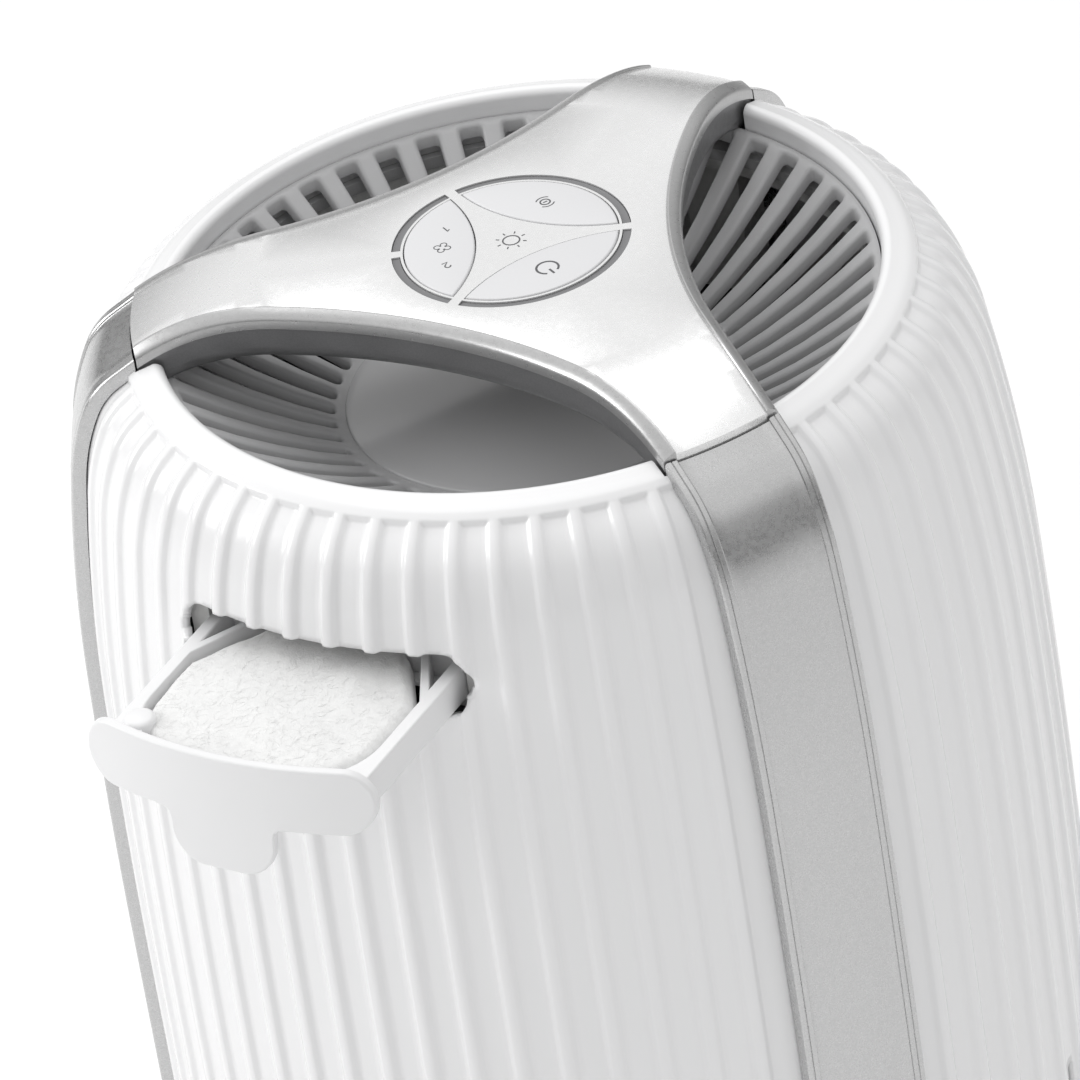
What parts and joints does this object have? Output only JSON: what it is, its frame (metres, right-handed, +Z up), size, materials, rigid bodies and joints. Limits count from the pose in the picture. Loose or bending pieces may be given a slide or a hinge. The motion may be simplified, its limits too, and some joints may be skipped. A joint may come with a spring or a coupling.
{
  "type": "air purifier",
  "caption": "Desktop tower air purifier: fluted barrel shells, trim strips, a three-armed key bridge over a bowl grille, a sliding aroma tray and a twist-off filter cover.",
  "frame": {"origin": "on the body's axis at floor level, the plane of the rubber foot ring", "axes": "+Z up along the body's axis; -Y is the side with the aroma tray, and a reader of the keys stands at azimuth 150 degrees from +X"},
  "size_m": [0.1892, 0.2197, 0.3178],
  "materials": {
    "shell_white": "gloss white ABS",
    "strip_silver": "satin silver metallic paint",
    "bridge_pearl": "satin pearl silver paint",
    "pan_grey": "satin silver grey paint",
    "key_pearl": "satin pearl plastic",
    "light_grey": "frosted grey light guide",
    "grille_grey": "moulded light grey ABS",
    "hub_grey": "glossy grey ABS",
    "inner_white": "natural moulded ABS",
    "inner_black": "black moulded plastic",
    "tray_white": "satin white plastic",
    "felt": "white needle-felt pad",
    "filter_paper": "pleated filter paper",
    "carbon_mesh": "black carbon pre-filter fabric",
    "foam": "closed-cell foam seal",
    "rubber_grey": "soft grey rubber",
    "zinc_steel": "zinc-plated steel",
    "copper": "enamelled copper windings on laminations",
    "magnet": "coated ferrite magnet",
    "board_green": "green glass-epoxy board",
    "brass_pin": "plated brass pins",
    "led": "clear LED"
  },
  "bodies": {
    "housing": {"fluted_shell_front": "shell_white", "fluted_shell_right": "shell_white", "fluted_shell_left": "shell_white", "trim_strip_rear": "strip_silver", "trim_strip_left": "strip_silver", "trim_strip_right": "strip_silver", "bridge_cover": "bridge_pearl", "bridge_pan": "pan_grey", "control_board": "board_green", "board_screws": "zinc_steel", "key_switches": "inner_black", "status_leds": "led", "ion_light_guide": "light_grey", "speed_one_light_guide": "light_grey", "speed_two_light_guide": "light_grey", "power_light_guide": "light_grey", "outlet_grille": "grille_grey", "hub_cap": "hub_grey", "upper_chassis": "inner_white", "bridge_screws": "zinc_steel", "grille_screws": "zinc_steel", "lower_chassis": "inner_white", "fan_duct": "inner_black", "inlet_bell": "inner_black", "motor_cradle": "inner_black", "motor_grommets": "rubber_grey", "motor_screws": "zinc_steel", "motor_can": "zinc_steel", "motor_bearings": "zinc_steel", "motor_stator": "copper", "ionizer_module": "inner_black", "ion_needles": "zinc_steel", "filter_media": "filter_paper", "carbon_sleeve": "carbon_mesh", "filter_cap_top": "inner_black", "filter_cap_bottom": "inner_black", "filter_seal": "foam", "base_ring": "shell_white", "base_screws": "zinc_steel", "tray_guide": "inner_white", "tray_latch": "inner_white", "mains_inlet": "inner_black", "inlet_pins": "brass_pin", "power_board": "board_green", "power_components": "inner_black", "wiring_loom": "rubber_grey"},
    "rotor": {"impeller": "inner_white", "impeller_nut": "zinc_steel", "motor_rotor": "magnet", "motor_shaft": "zinc_steel"},
    "ion_key": {"ion_key": "key_pearl"},
    "power_key": {"power_key": "key_pearl"},
    "fan_speed_key": {"fan_speed_key": "key_pearl"},
    "aroma_tray": {"aroma_tray": "tray_white", "aroma_pad": "felt"},
    "latch_plunger": {"latch_plunger": "inner_white"},
    "filter_cover": {"filter_cover": "inner_white", "foot_ring": "rubber_grey"}
  },
  "joints": [
    {"name": "fan_spin", "type": "hinge", "parent": "housing", "child": "rotor", "pos_m": [0, 0, 0.19], "axis": [0, 0, 1], "continuous": true},
    {"name": "ion_key_press", "type": "slide", "parent": "housing", "child": "ion_key", "axis": [0, 0, -1], "range_m": [0, 0.0005], "stiffness_N_per_m": 600},
    {"name": "power_key_press", "type": "slide", "parent": "housing", "child": "power_key", "axis": [0, 0, -1], "range_m": [0, 0.0005], "stiffness_N_per_m": 600},
    {"name": "fan_speed_key_press", "type": "slide", "parent": "housing", "child": "fan_speed_key", "axis": [0, 0, -1], "range_m": [0, 0.0005], "stiffness_N_per_m": 600},
    {"name": "aroma_tray_slide", "type": "slide", "parent": "housing", "child": "aroma_tray", "axis": [0, -1, 0], "range_m": [-0.032, 0]},
    {"name": "latch_plunger_slide", "type": "slide", "parent": "housing", "child": "latch_plunger", "axis": [0, -1, 0], "range_m": [-0.0073, 0]},
    {"name": "filter_cover_twist", "type": "hinge", "parent": "housing", "child": "filter_cover", "pos_m": [0, 0, 0], "axis": [0, 0, 1], "range_deg": [-20, 0]}
  ],
  "couplings": [
    {"joint": "latch_plunger_slide", "follows": "aroma_tray_slide", "ratio": 0.228}
  ]
}
